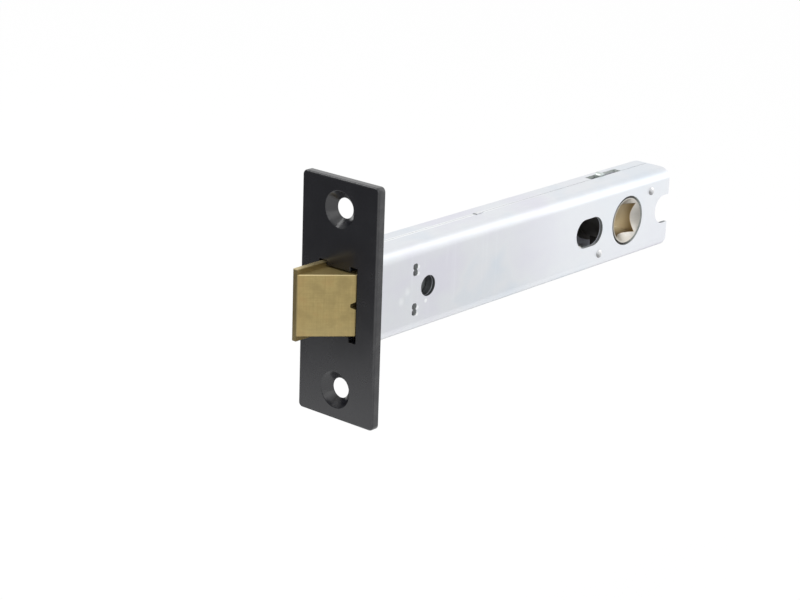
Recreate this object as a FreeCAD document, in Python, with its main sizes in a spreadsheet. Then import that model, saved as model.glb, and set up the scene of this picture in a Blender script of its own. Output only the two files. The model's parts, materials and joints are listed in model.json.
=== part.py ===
import FreeCAD, Part
import math
import os
import re

import Sketcher

# A tubular door latch: a plate on the door's edge, a folded case behind it, a bevelled
# bolt that slides in and out, and a follower that draws the bolt in when it is turned.
# The origin is the middle of the front plate's outer face, +X runs into the door along
# the case, +Y across the door's thickness and +Z up. All sizes are in millimetres.

SIZES = {
    # Front plate on the edge of the door
    "plate_height": 60.0,
    "plate_width": 24.2,
    "plate_thickness": 2.3,
    "plate_corner": 1.2,
    "plate_edge_round": 0.6,
    "screw_inset": 7.5,
    "screw_hole": 5.0,
    "screw_sink": 9.2,
    # Folded case, with the spindle's middle that far before its end
    "case_depth": 127.0,
    "case_tail": 19.0,
    "case_height": 22.3,
    "case_width": 14.0,
    "case_wall": 1.0,
    "case_bend": 3.0,
    "seam_gap": 0.14,
    # Holes for the rose bolts, measured from the spindle's middle
    "rose_hole_before": 17.05,
    "rose_notch_behind": 18.75,
    "rose_hole": 11.6,
    "rose_hole_height": 7.9,
    "access_hole_at": 25.0,
    "access_hole": 5.3,
    "fit_gap": 0.1,
    # Bolt head with its gaps to the inside of the case, and the tail pressed into it
    "bolt_throw": 9.7,
    "bolt_case_gap": 0.5,
    "bolt_rib_gap": 1.25,
    "bolt_rib_step": 1.2,
    "bolt_rib_width": 1.4,
    "bolt_bevel_foot": 0.5,
    "bolt_head_end": 4.5,
    "bolt_edge_round": 0.3,
    "bolt_groove_height": 2.0,
    "bolt_groove_floor": 0.8,
    "bolt_groove_depth": 0.9,
    "bolt_side_gap": 0.6,
    "bolt_end_gap": 0.45,
    "bolt_slot_width": 2.3,
    "tail_width": 8.0,
    "tail_height": 11.0,
    "tail_end": 30.0,
    "tail_spigot": 5.0,
    "tail_spigot_length": 4.5,
    "tail_slot_depth": 10.0,
    "tail_rivet": 2.6,
    # Guide block and the paired nibs that stake it into the case
    "guide_start": 15.4,
    "guide_gap": 0.15,
    "nib_at": 20.1,
    "nib_height_at": 5.05,
    "nib_width": 1.7,
    "nib_height": 3.1,
    "nib_waist": 1.0,
    "nib_corner": 0.4,
    "nib_sunk": 0.45,
    # Bolt spring, with the washer and the plate that it bears on
    "washer_thickness": 1.0,
    "washer_gap": 0.4,
    "washer_height": 14.0,
    "spring_wire": 1.2,
    "spring_case_gap": 0.8,
    "spring_turns": 6.5,
    "spring_gap": 0.1,
    "seat_at": 51.8,
    "seat_thickness": 2.4,
    "seat_tab_width": 1.2,
    "seat_tab_proud": 0.15,
    "seat_slot_gap": 0.25,
    # Draw fork
    "fork_thickness": 2.0,
    "fork_arm_gap": 0.2,
    "fork_shank_gap": 0.5,
    "fork_yoke_gap": 2.45,
    "fork_yoke_length": 4.0,
    "fork_prong": 2.1,
    "fork_case_gap": 0.25,
    "fork_hook": 2.0,
    "fork_slide_gap": 0.15,
    # Follower
    "follower_hole": 13.64,
    "follower_gap": 0.62,
    "follower_sink": 0.1,
    "follower_dish": 12.0,
    "follower_flange": 15.6,
    "follower_flange_length": 1.4,
    "follower_hub": 13.0,
    "spindle_square": 8.0,
    "arm_near": 1.0,
    "arm_thickness": 2.0,
    "arm_reach": 10.85,
    "arm_nose": 1.15,
    "arm_root_front": 2.6,
    "arm_root_rear": 1.05,
    "arm_lean": 8.0,
    "arm_hook_gap": 0.56,
    "arm_slot_half": 6.7,
    "arm_slot_gap": 0.15,
    # Rivets that tie the two walls of the case and stop the follower
    "rivet_pin": 1.6,
    "rivet_head": 2.4,
    "rivet_crown": 1.2,
    "rivet_head_height": 0.5,
    "rivet_front_before": 12.2,
    "rivet_front_gap": 0.2,
    "rivet_rear_behind": 10.6,
    "rivet_rear_gap": 0.7,
}
# The spring's wire and its turns have straight sides, which keeps its faces few
WIRE_SIDES = 8
TURN_SIDES = 16

doc = FreeCAD.newDocument("TubularLatch")
sheet = doc.addObject("Spreadsheet::Sheet", "Sizes")
for row, (alias, size) in enumerate(SIZES.items(), start=1):
    sheet.set(f"A{row}", alias)
    sheet.set(f"B{row}", str(size))
    sheet.setAlias(f"B{row}", alias)
doc.recompute()


def formula(text):
    """Point each size named in a formula at its cell of the sheet."""
    return re.sub(r"[a-z_]+", lambda word: f"Sizes.{word[0]}" if word[0] in SIZES else word[0], text)


def value(text):
    """Work out a formula with the sheet's present sizes."""
    return float(sheet.evalExpression(formula(text)))


def bind(item, name, text):
    """Tie a property of a document object to a formula on the sheet."""
    item.setExpression(name, formula(text))


def new_body(label, along="0"):
    """Start a sub-part whose own origin lies at a distance along the case."""
    body = doc.addObject("PartDesign::Body", label)
    body.Label = label
    bind(body, "Placement.Base.x", along)
    return body


def new_sketch(body, name, plane, offset="0", turn="0"):
    """Start a sketch on one of the body's own planes, moved along that plane's normal."""
    sketch = body.newObject("Sketcher::SketchObject", name)
    support = [face for face in body.Origin.OriginFeatures if face.Role == plane][0]
    sketch.AttachmentSupport = [(support, "")]
    sketch.MapMode = "FlatFace"
    bind(sketch, "AttachmentOffset.Base.z", offset)
    bind(sketch, "AttachmentOffset.Rotation.Angle", turn)
    return sketch


def fix(sketch, kind, *places, text):
    """Add a dimension to a sketch and tie it to a formula."""
    index = sketch.addConstraint(Sketcher.Constraint(kind, *places, value(text)))
    bind(sketch, f"Constraints[{index}]", text)


def fix_point(sketch, item, end, across, up):
    """Place one end of a sketch line, or a centre, from the sketch's origin."""
    fix(sketch, "DistanceX", -1, 1, item, end, text=across)
    fix(sketch, "DistanceY", -1, 1, item, end, text=up)


def outline(sketch, corners):
    """Draw a closed outline of straight sides through corners given as formulas."""
    points = [FreeCAD.Vector(value(across), value(up), 0) for across, up in corners]
    count = len(points)
    sides = [
        sketch.addGeometry(Part.LineSegment(points[i], points[(i + 1) % count]), False)
        for i in range(count)
    ]
    for i, (across, up) in enumerate(corners):
        sketch.addConstraint(Sketcher.Constraint("Coincident", sides[i - 1], 2, sides[i], 1))
        fix_point(sketch, sides[i], 1, across, up)


def rectangle(sketch, left, right, low, high):
    """Draw a rectangle from formulas for its four sides."""
    outline(sketch, [(left, low), (right, low), (right, high), (left, high)])


def circle(sketch, across, up, diameter):
    """Draw a circle from formulas for its centre and diameter."""
    middle = FreeCAD.Vector(value(across), value(up), 0)
    ring = Part.Circle(middle, FreeCAD.Vector(0, 0, 1), value(diameter) / 2)
    item = sketch.addGeometry(ring, False)
    fix_point(sketch, item, 3, across, up)
    fix(sketch, "Diameter", item, text=diameter)


def arc(sketch, centre, radius, start, end):
    """Add an arc about a centre, between two angles in degrees."""
    ring = Part.Circle(FreeCAD.Vector(*centre, 0), FreeCAD.Vector(0, 0, 1), radius)
    return sketch.addGeometry(Part.ArcOfCircle(ring, math.radians(start), math.radians(end)), False)


def line(sketch, start, end):
    """Add a straight line between two points."""
    return sketch.addGeometry(
        Part.LineSegment(FreeCAD.Vector(*start, 0), FreeCAD.Vector(*end, 0)), False
    )


def rounded_rectangle(sketch, half_width, half_height, corner):
    """Draw a rectangle about the sketch's origin with equal round corners."""
    wide, high, round_ = value(half_width), value(half_height), value(corner)
    inner_wide, inner_high = wide - round_, high - round_
    right = line(sketch, (wide, -inner_high), (wide, inner_high))
    first = arc(sketch, (inner_wide, inner_high), round_, 0, 90)
    top = line(sketch, (inner_wide, high), (-inner_wide, high))
    second = arc(sketch, (-inner_wide, inner_high), round_, 90, 180)
    left = line(sketch, (-wide, inner_high), (-wide, -inner_high))
    third = arc(sketch, (-inner_wide, -inner_high), round_, 180, 270)
    bottom = line(sketch, (-inner_wide, -high), (inner_wide, -high))
    fourth = arc(sketch, (inner_wide, -inner_high), round_, 270, 360)
    ring = [right, first, top, second, left, third, bottom, fourth]
    for here, after in zip(ring, ring[1:] + ring[:1]):
        sketch.addConstraint(Sketcher.Constraint("Tangent", here, 2, after, 1))
    for other in (second, third, fourth):
        sketch.addConstraint(Sketcher.Constraint("Equal", first, other))
    fix(sketch, "Radius", first, text=corner)
    fix(sketch, "DistanceX", -1, 1, right, 1, text=half_width)
    fix(sketch, "DistanceX", -1, 1, left, 1, text=f"-({half_width})")
    fix(sketch, "DistanceY", -1, 1, top, 1, text=half_height)
    fix(sketch, "DistanceY", -1, 1, bottom, 1, text=f"-({half_height})")
    sketch.addConstraint(Sketcher.Constraint("Vertical", right))
    sketch.addConstraint(Sketcher.Constraint("Horizontal", top))


def level_slot(sketch, across, length, height):
    """Draw a level slot with full round ends, the shape of the rose bolts' holes."""
    reach = f"({length} - {height}) / 2"
    middle, half, radius = value(across), value(reach), value(height) / 2
    right = arc(sketch, (middle + half, 0), radius, -90, 90)
    top = line(sketch, (middle + half, radius), (middle - half, radius))
    left = arc(sketch, (middle - half, 0), radius, 90, 270)
    bottom = line(sketch, (middle - half, -radius), (middle + half, -radius))
    ring = [right, top, left, bottom]
    for here, after in zip(ring, ring[1:] + ring[:1]):
        sketch.addConstraint(Sketcher.Constraint("Tangent", here, 2, after, 1))
    sketch.addConstraint(Sketcher.Constraint("Equal", right, left))
    fix(sketch, "Diameter", right, text=height)
    for end, sign in ((right, "+"), (left, "-")):
        sketch.addConstraint(Sketcher.Constraint("PointOnObject", end, 3, -1))
        fix(sketch, "DistanceX", -1, 1, end, 3, text=f"{across} {sign} {reach}")


def pad(body, sketch, length, reverse=False, both_ways=False):
    """Extrude a sketch, along its plane's normal or evenly to both sides."""
    feature = body.newObject("PartDesign::Pad", sketch.Name + "Pad")
    feature.Profile = sketch
    feature.Reversed = reverse
    feature.Midplane = both_ways
    bind(feature, "Length", length)
    doc.recompute()
    return feature


def pocket(body, sketch, depth=None):
    """Cut a sketch into the body, to a depth or right through to both sides."""
    before = body.Shape.Volume
    feature = body.newObject("PartDesign::Pocket", sketch.Name + "Pocket")
    feature.Profile = sketch
    if depth is None:
        feature.Type = "ThroughAll"
        feature.Midplane = True
    else:
        bind(feature, "Length", depth)
    doc.recompute()
    if body.Shape.Volume >= before:
        raise RuntimeError(f"{feature.Name} cuts nothing")
    return feature


def turned(body, sketch):
    """Revolve a half profile about the sketch's upright axis."""
    feature = body.newObject("PartDesign::Revolution", sketch.Name + "Turned")
    feature.Profile = sketch
    feature.ReferenceAxis = (sketch, ["V_Axis"])
    feature.Angle = 360.0
    doc.recompute()
    return feature


def edges_of(feature, wanted):
    """Names of the edges of a feature that pass a test."""
    return [f"Edge{i}" for i, edge in enumerate(feature.Shape.Edges, start=1) if wanted(edge)]


def ease_edges(body, feature, kind, size, wanted):
    """Round or chamfer the edges of a feature that pass a test."""
    eased = body.newObject(f"PartDesign::{kind}", f"{body.Name}{kind}")
    eased.Base = (feature, edges_of(feature, wanted))
    bind(eased, "Radius" if kind == "Fillet" else "Size", size)
    doc.recompute()
    return eased


def lies_at(edge, x):
    """Say whether an edge lies wholly in the plane at x of its own body."""
    return all(abs(point.X - x) < 1e-4 for point in edge.Vertexes)


def is_round(edge, radius):
    """Say whether an edge is a full circle of a radius."""
    return edge.isClosed() and isinstance(edge.Curve, Part.Circle) and abs(edge.Curve.Radius - radius) < 1e-4


# Places and sizes that several pieces share
SCREW_AT = "(plate_height / 2 - screw_inset)"
BACKSET = "(case_depth - case_tail)"
CASE_LENGTH = "(case_depth - plate_thickness)"
INNER_WIDTH = "(case_width - 2 * case_wall)"
INNER_HEIGHT = "(case_height - 2 * case_wall)"
INNER_BEND = "(case_bend - case_wall)"
SEAM_AT = "(arm_near - arm_slot_gap)"
BOLT_SIDE = f"({INNER_WIDTH} / 2 - bolt_case_gap)"
BOLT_RIB_TOP = f"({INNER_HEIGHT} / 2 - bolt_rib_gap)"
BOLT_TOP = f"({BOLT_RIB_TOP} - bolt_rib_step)"
WASHER_BACK = "(tail_end + washer_thickness)"
SPRING_RADIUS = f"({INNER_WIDTH} / 2 - spring_case_gap - spring_wire / 2)"
FORK_FAR = "(arm_near - fork_arm_gap)"
FORK_NEAR = "(arm_near - fork_arm_gap - fork_thickness)"
FORK_SHANK = f"({SPRING_RADIUS} - spring_wire / 2 - fork_shank_gap)"
FORK_TOP = f"({INNER_HEIGHT} / 2 - fork_case_gap)"
PRONG_INNER = f"({FORK_TOP} - fork_prong)"
FORK_THROAT = f"({BACKSET} - rose_hole_before - rose_hole / 2 - bolt_throw - fork_yoke_gap)"
HOOK_FACE = f"({BACKSET} - arm_reach * sin(arm_lean) + arm_nose + arm_hook_gap)"
RIVET_FRONT = ("-rivet_front_before", f"-({PRONG_INNER} - rivet_pin / 2 - rivet_front_gap)")
RIVET_REAR = ("rivet_rear_behind", f"({PRONG_INNER} - rivet_pin / 2 - rivet_rear_gap)")


def front_plate():
    """Plate with two countersunk screw holes and an opening that suits either hand."""
    body = new_body("front_plate")
    sketch = new_sketch(body, "PlateOutline", "YZ_Plane")
    rounded_rectangle(sketch, "plate_width / 2", "plate_height / 2", "plate_corner")
    side = f"({BOLT_SIDE} + bolt_side_gap)"
    slot = f"({side} - bolt_slot_width)"
    middle = f"({BOLT_TOP} + bolt_end_gap)"
    end = f"({BOLT_RIB_TOP} + bolt_end_gap)"
    quarter = [(side, end), (slot, end), (slot, middle)]
    corners = quarter
    corners = corners + [(f"-{across}", up) for across, up in reversed(quarter)]
    corners = corners + [(f"-{across}", f"-{up}") for across, up in quarter]
    corners = corners + [(across, f"-{up}") for across, up in reversed(quarter)]
    outline(sketch, corners)
    for up in (SCREW_AT, f"-{SCREW_AT}"):
        circle(sketch, "0", up, "screw_hole")
    plate = pad(body, sketch, "plate_thickness")
    sink = "(screw_sink - screw_hole) / 2"
    hole = value("screw_hole / 2")
    sunk = ease_edges(
        body, plate, "Chamfer", sink, lambda edge: lies_at(edge, 0) and is_round(edge, hole)
    )
    rim = value("plate_width / 2 - plate_corner")
    top = value("plate_height / 2 - plate_corner")
    ease_edges(
        body,
        sunk,
        "Fillet",
        "plate_edge_round",
        lambda edge: lies_at(edge, 0)
        and (abs(edge.CenterOfMass.y) > rim or abs(edge.CenterOfMass.z) > top),
    )
    return body


def case():
    """Sheet folded to a box section, with its seam on top and the same holes in both walls."""
    body = new_body("case", "plate_thickness")
    section = new_sketch(body, "CaseSection", "YZ_Plane")
    rounded_rectangle(section, "case_width / 2", "case_height / 2", "case_bend")
    rounded_rectangle(section, f"{INNER_WIDTH} / 2", f"{INNER_HEIGHT} / 2", INNER_BEND)
    pad(body, section, CASE_LENGTH)

    spindle = f"{BACKSET} - plate_thickness"
    sides = new_sketch(body, "SideHoles", "XZ_Plane")
    circle(sides, "access_hole_at - plate_thickness", "0", "access_hole")
    circle(sides, spindle, "0", "follower_hole")
    level_slot(sides, f"{spindle} - rose_hole_before", "rose_hole", "rose_hole_height")
    for shift, up in (RIVET_FRONT, RIVET_REAR):
        circle(sides, f"{spindle} + {shift}", up, "rivet_pin + fit_gap")
    nib_outlines(sides, "nib_at - plate_thickness", "0")
    pocket(body, sides)

    notch = new_sketch(body, "RearNotch", "XZ_Plane")
    level_slot(notch, f"{spindle} + rose_notch_behind", "rose_hole", "rose_hole_height")
    pocket(body, notch)

    slots = new_sketch(body, "TopAndBottomSlots", "XY_Plane")
    rectangle(
        slots,
        f"{spindle} - arm_slot_half",
        f"{spindle} + arm_slot_half",
        SEAM_AT,
        "arm_near + arm_thickness + arm_slot_gap",
    )
    rectangle(
        slots,
        "seat_at - seat_slot_gap - plate_thickness",
        "seat_at + seat_thickness + seat_slot_gap - plate_thickness",
        f"{SEAM_AT} - seat_tab_width / 2 - fit_gap",
        f"{SEAM_AT} + seat_tab_width / 2 + fit_gap",
    )
    pocket(body, slots)

    # A cut as deep as the outer bend opens the top wall and leaves the bottom whole
    seam = new_sketch(body, "Seam", "XY_Plane", "case_height / 2")
    rectangle(
        seam,
        "-case_wall",
        f"{CASE_LENGTH} + case_wall",
        f"{SEAM_AT} - seam_gap / 2",
        f"{SEAM_AT} + seam_gap / 2",
    )
    pocket(body, seam, "case_bend")
    return body


def nib_outlines(sketch, along, gap):
    """Draw the two waisted outlines of the staked nibs, each smaller all round by a gap."""
    wide = f"(nib_width / 2 - {gap})"
    waist = f"(nib_waist / 2 - {gap})"
    top = f"(nib_height / 2 - {gap})"
    crown = f"({wide} - nib_corner)"
    shoulder = f"({top} - nib_corner)"
    upper = [(waist, "0"), (wide, "nib_corner"), (wide, shoulder), (crown, top)]
    right = [(across, f"-{rise}") for across, rise in reversed(upper[1:])] + upper
    left = [(f"-{across}", rise) for across, rise in reversed(right)]
    for middle in ("nib_height_at", "-nib_height_at"):
        corners = [(f"{along} + {across}", f"{middle} + {rise}") for across, rise in right + left]
        outline(sketch, corners)


def latch_bolt():
    """Bevelled head of the bolt, with a taller rib along its flat side."""
    body = new_body("latch_bolt", "-bolt_throw")
    head = new_sketch(body, "HeadSection", "YZ_Plane")
    rib_inner = f"({BOLT_SIDE} - bolt_rib_width)"
    outline(
        head,
        [
            (f"-{BOLT_SIDE}", f"-{BOLT_TOP}"),
            (rib_inner, f"-{BOLT_TOP}"),
            (rib_inner, f"-{BOLT_RIB_TOP}"),
            (BOLT_SIDE, f"-{BOLT_RIB_TOP}"),
            (BOLT_SIDE, BOLT_RIB_TOP),
            (rib_inner, BOLT_RIB_TOP),
            (rib_inner, BOLT_TOP),
            (f"-{BOLT_SIDE}", BOLT_TOP),
        ],
    )
    pad(body, head, "bolt_throw + bolt_head_end")

    bevel = new_sketch(body, "Bevel", "XY_Plane")
    foot = "bolt_throw + bolt_bevel_foot"
    outside = f"(-{BOLT_SIDE} - bolt_rib_width)"
    ahead = "-bolt_rib_width"
    outline(
        bevel,
        [
            ("0", rib_inner),
            (ahead, rib_inner),
            (ahead, outside),
            (foot, outside),
            (foot, f"-{BOLT_SIDE}"),
        ],
    )
    bevelled = pocket(body, bevel)
    nose_side = value(BOLT_SIDE)
    half_height = value(BOLT_TOP)

    def shows(edge):
        ends = edge.Vertexes
        on_top = all(abs(abs(end.Z) - half_height) < 1e-4 for end in ends)
        slants = abs(ends[0].Y - ends[-1].Y) > half_height
        at_nose = lies_at(edge, 0) and all(abs(end.Y - nose_side) < 1e-4 for end in ends)
        return (on_top and slants and not lies_at(edge, ends[0].X)) or at_nose

    ease_edges(body, bevelled, "Fillet", "bolt_edge_round", shows)

    head_back = "bolt_throw + bolt_head_end"
    groove = new_sketch(body, "SideGroove", "YZ_Plane", head_back)
    floor = "bolt_groove_floor / 2"
    mouth = f"(bolt_groove_height - {floor})"
    outline(
        groove,
        [
            (f"-{BOLT_SIDE} + bolt_groove_depth", f"-{floor}"),
            (f"-{BOLT_SIDE} + bolt_groove_depth", floor),
            (f"-{BOLT_SIDE} - bolt_groove_depth", mouth),
            (f"-{BOLT_SIDE} - bolt_groove_depth", f"-{mouth}"),
        ],
    )
    pocket(body, groove, head_back)

    socket = new_sketch(body, "TailSocket", "YZ_Plane", head_back)
    circle(socket, "0", "0", "tail_spigot + fit_gap")
    pocket(body, socket, "tail_spigot_length + fit_gap")
    return body


def bolt_tail():
    """Tail pressed into the bolt's head by a spigot, slotted for the draw fork."""
    body = new_body("bolt_tail", "bolt_head_end")
    length = "tail_end - bolt_head_end"
    tail = new_sketch(body, "TailSection", "YZ_Plane")
    rectangle(tail, "-tail_width / 2", "tail_width / 2", "-tail_height / 2", "tail_height / 2")
    pad(body, tail, length)
    spigot = new_sketch(body, "TailSpigot", "YZ_Plane")
    circle(spigot, "0", "0", "tail_spigot")
    pad(body, spigot, "tail_spigot_length", reverse=True)

    slot = new_sketch(body, "TailSlot", "YZ_Plane", length)
    fork_slot(slot, "fit_gap / 2")
    pocket(body, slot, "tail_slot_depth")

    rivet = new_sketch(body, "TailRivetHole", "XZ_Plane")
    circle(rivet, "access_hole_at - bolt_head_end", "0", "tail_rivet + fit_gap")
    pocket(body, rivet)
    return body


def fork_slot(sketch, gap):
    """Draw the slot that the flat shank of the draw fork passes through."""
    rectangle(
        sketch,
        f"{FORK_NEAR} - {gap}",
        f"{FORK_FAR} + {gap}",
        f"-{FORK_SHANK} - {gap}",
        f"{FORK_SHANK} + {gap}",
    )


def bolt_guide():
    """Block that guides the bolt's tail, held by two pairs of nibs staked in each wall."""
    body = new_body("bolt_guide", "guide_start")
    length = "tail_end - fit_gap - guide_start"
    block = new_sketch(body, "GuideBlock", "YZ_Plane")
    rounded_rectangle(
        block,
        f"{INNER_WIDTH} / 2 - fit_gap / 2",
        f"{INNER_HEIGHT} / 2 - fit_gap / 2",
        f"{INNER_BEND} + fit_gap",
    )
    pad(body, block, length)
    nibs = new_sketch(body, "GuideNibs", "XZ_Plane")
    nib_outlines(nibs, "nib_at - guide_start", "fit_gap / 2")
    pad(body, nibs, "case_width - 2 * nib_sunk", both_ways=True)
    bore = new_sketch(body, "GuideBore", "YZ_Plane")
    rectangle(
        bore,
        "-tail_width / 2 - guide_gap",
        "tail_width / 2 + guide_gap",
        "-tail_height / 2 - guide_gap",
        "tail_height / 2 + guide_gap",
    )
    pocket(body, bore)
    access = new_sketch(body, "GuideAccess", "XZ_Plane")
    circle(access, "access_hole_at - guide_start", "0", "access_hole")
    pocket(body, access)
    return body


def spring_washer():
    """Flat washer on the end of the bolt's tail that takes the spring's push."""
    body = new_body("spring_washer", "tail_end")
    sheet_ = new_sketch(body, "WasherOutline", "YZ_Plane")
    half_width = f"{INNER_WIDTH} / 2 - washer_gap"
    rounded_rectangle(sheet_, half_width, "washer_height / 2", "washer_thickness")
    fork_slot(sheet_, "fit_gap")
    pad(body, sheet_, "washer_thickness")
    return body


def spring_seat():
    """Fixed plate across the case that the spring bears on, with a tab at top and bottom."""
    body = new_body("spring_seat", "seat_at")
    plate = new_sketch(body, "SeatOutline", "YZ_Plane")
    rounded_rectangle(
        plate,
        f"{INNER_WIDTH} / 2 - fit_gap / 2",
        f"{INNER_HEIGHT} / 2 - fit_gap / 2",
        f"{INNER_BEND} + fit_gap",
    )
    pad(body, plate, "seat_thickness")
    tabs = new_sketch(body, "SeatTabs", "YZ_Plane")
    rise = "(case_height / 2 + seat_tab_proud)"
    rectangle(
        tabs, f"{SEAM_AT} - seat_tab_width / 2", f"{SEAM_AT} + seat_tab_width / 2", f"-{rise}", rise
    )
    pad(body, tabs, "seat_thickness")
    way = new_sketch(body, "SeatSlot", "YZ_Plane")
    fork_slot(way, "fork_slide_gap")
    pocket(body, way)
    return body


def coil_points(radius, length, turns):
    """Points along a coil about X."""
    count = round(turns * TURN_SIDES)
    points = []
    for step in range(count + 1):
        angle = 2 * math.pi * step / TURN_SIDES
        along = length * step / count
        points.append(FreeCAD.Vector(along, radius * math.cos(angle), radius * math.sin(angle)))
    return points


def bolt_spring():
    """Coil spring round the fork's shank, between the washer and the fixed plate."""
    length = f"(seat_at - {WASHER_BACK} - 2 * spring_gap - spring_wire)"
    points = coil_points(value(SPRING_RADIUS), value(length), value("spring_turns"))
    path = doc.addObject("Part::Polygon", "SpringPath")
    path.Nodes = points
    wire = doc.addObject("Part::RegularPolygon", "SpringWire")
    wire.Polygon = WIRE_SIDES
    bind(wire, "Circumradius", "spring_wire / 2")
    heading = FreeCAD.Rotation(FreeCAD.Vector(0, 0, 1), points[1] - points[0])
    wire.Placement = FreeCAD.Placement(points[0], heading)
    coil = doc.addObject("Part::Sweep", "bolt_spring")
    coil.Label = "bolt_spring"
    coil.Sections = [wire]
    coil.Spine = (path, [])
    coil.Solid = True
    coil.Transition = "Right corner"
    bind(coil, "Placement.Base.x", f"{WASHER_BACK} + spring_gap + spring_wire / 2")
    doc.recompute()
    return coil


def draw_fork():
    """Flat plate from the bolt's tail to the follower, with a hook bent over each prong's end."""
    body = new_body("draw_fork")
    plate = new_sketch(body, "ForkOutline", "XZ_Plane", f"-{FORK_FAR}")
    start = "tail_end - tail_slot_depth + fit_gap"
    yoke = f"{FORK_THROAT} - fork_yoke_length"
    end = f"{HOOK_FACE} + fork_hook"
    upper = [
        (start, FORK_SHANK),
        (yoke, FORK_SHANK),
        (yoke, FORK_TOP),
        (end, FORK_TOP),
        (end, PRONG_INNER),
        (FORK_THROAT, PRONG_INNER),
    ]
    lower = [(along, f"-{up}") for along, up in reversed(upper)]
    outline(plate, upper + lower)
    pad(body, plate, "fork_thickness")
    hooks = new_sketch(body, "ForkHooks", "XZ_Plane", f"-{FORK_NEAR}")
    rectangle(hooks, HOOK_FACE, end, PRONG_INNER, FORK_TOP)
    rectangle(hooks, HOOK_FACE, end, f"-{FORK_TOP}", f"-{PRONG_INNER}")
    pad(body, hooks, f"arm_near + arm_thickness - {FORK_NEAR}", reverse=True)
    rivet = new_sketch(body, "ForkRivetHole", "XZ_Plane")
    circle(rivet, "access_hole_at", "0", "tail_rivet + fit_gap")
    pocket(body, rivet)
    return body


def tail_rivet():
    """Plain pin that ties the draw fork into the slot of the bolt's tail."""
    body = new_body("tail_rivet", "access_hole_at")
    sketch = new_sketch(body, "TailRivetSection", "XZ_Plane")
    circle(sketch, "0", "0", "tail_rivet")
    pad(body, sketch, "tail_width", both_ways=True)
    return body


def case_rivet(label, shift, up):
    """Rivet across the case with a low coned head on each wall."""
    body = new_body(label, f"{BACKSET} + {shift}")
    bind(body, "Placement.Base.z", up)
    sketch = new_sketch(body, f"{label}_profile", "XY_Plane")
    wall = "case_width / 2"
    crown = "case_width / 2 + rivet_head_height"
    half = [("0", crown), ("rivet_crown / 2", crown), ("rivet_head / 2", wall), ("rivet_pin / 2", wall)]
    mirrored = [(across, f"-({away})") for across, away in reversed(half)]
    outline(sketch, half + mirrored)
    turned(body, sketch)
    return body


def follower():
    """Turned hub with a dish at each end, a square hole for the spindle and two arms."""
    body = new_body("follower", BACKSET)
    profile = new_sketch(body, "HubProfile", "XY_Plane")
    end = "(case_width / 2 - follower_sink)"
    dish = "follower_dish / 2"
    boss = "(follower_hole / 2 - follower_gap)"
    shoulder = f"({INNER_WIDTH} / 2 - fit_gap)"
    flange = f"({shoulder} - follower_flange_length)"
    half = [
        ("0", f"{end} - {dish}"),
        (dish, end),
        (boss, end),
        (boss, shoulder),
        ("follower_flange / 2", shoulder),
        ("follower_flange / 2", flange),
        ("follower_hub / 2", flange),
    ]
    mirrored = [(across, f"-({away})") for across, away in reversed(half)]
    outline(profile, half + mirrored)
    turned(body, profile)

    for name, lean, left, right in (
        ("UpperArm", "arm_lean", "arm_root_front", "arm_root_rear"),
        ("LowerArm", "180 - arm_lean", "arm_root_rear", "arm_root_front"),
    ):
        sketch = new_sketch(body, name, "XZ_Plane", "-arm_near", lean)
        arm_outline(sketch, left, right)
        pad(body, sketch, "arm_thickness", reverse=True)

    square = new_sketch(body, "SpindleHole", "XZ_Plane")
    half_square = "spindle_square / 2"
    rectangle(square, f"-{half_square}", half_square, f"-{half_square}", half_square)
    pocket(body, square)
    return body


def arm_outline(sketch, left_root, right_root):
    """Draw one arm upright: a foot inside the hub, two flanks and a round nose."""
    reach, nose = value("arm_reach"), value("arm_nose")
    foot = value("spindle_square / 2")
    low_left = (-value(left_root), foot)
    low_right = (value(right_root), foot)
    bottom = line(sketch, low_left, low_right)
    right = line(sketch, low_right, (nose, reach))
    tip = arc(sketch, (0, reach), nose, 0, 180)
    left = line(sketch, (-nose, reach), low_left)
    sketch.addConstraint(Sketcher.Constraint("Coincident", bottom, 2, right, 1))
    sketch.addConstraint(Sketcher.Constraint("Tangent", right, 2, tip, 1))
    sketch.addConstraint(Sketcher.Constraint("Tangent", tip, 2, left, 1))
    sketch.addConstraint(Sketcher.Constraint("Coincident", left, 2, bottom, 1))
    fix_point(sketch, bottom, 1, f"-{left_root}", "spindle_square / 2")
    fix_point(sketch, bottom, 2, right_root, "spindle_square / 2")
    sketch.addConstraint(Sketcher.Constraint("PointOnObject", tip, 3, -2))
    fix(sketch, "DistanceY", -1, 1, tip, 3, text="arm_reach")
    fix(sketch, "Radius", tip, text="arm_nose")


pieces = [
    front_plate(),
    case(),
    latch_bolt(),
    bolt_tail(),
    bolt_guide(),
    spring_washer(),
    spring_seat(),
    bolt_spring(),
    draw_fork(),
    tail_rivet(),
    follower(),
    case_rivet("case_rivet_front", *RIVET_FRONT),
    case_rivet("case_rivet_rear", *RIVET_REAR),
]

doc.recompute()
for item in doc.Objects:
    if "Invalid" in item.State or "Error" in item.State:
        raise RuntimeError(f"{item.Name} failed: {item.State}")
for piece in pieces:
    if piece.Shape.isNull() or not piece.Shape.isValid() or len(piece.Shape.Solids) != 1:
        raise RuntimeError(f"{piece.Label} is not one sound solid")

os.makedirs("parts", exist_ok=True)
for piece in pieces:
    piece.Shape.exportStep(f"parts/{piece.Label}.step")
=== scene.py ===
"""Looks of a tubular door latch: its finishes, coil spring, rivets, studio and camera.

Lengths are in metres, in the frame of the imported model: the origin is the middle of the front
plate's outer face, +X runs into the door along the case, +Y across the door and +Z up.
"""

import json
import logging
import math
import operator
from dataclasses import dataclass, replace
from enum import Enum
from functools import reduce
from typing import Any, Mapping, Sequence, Union

import bpy
from mathutils import Matrix, Vector

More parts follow.
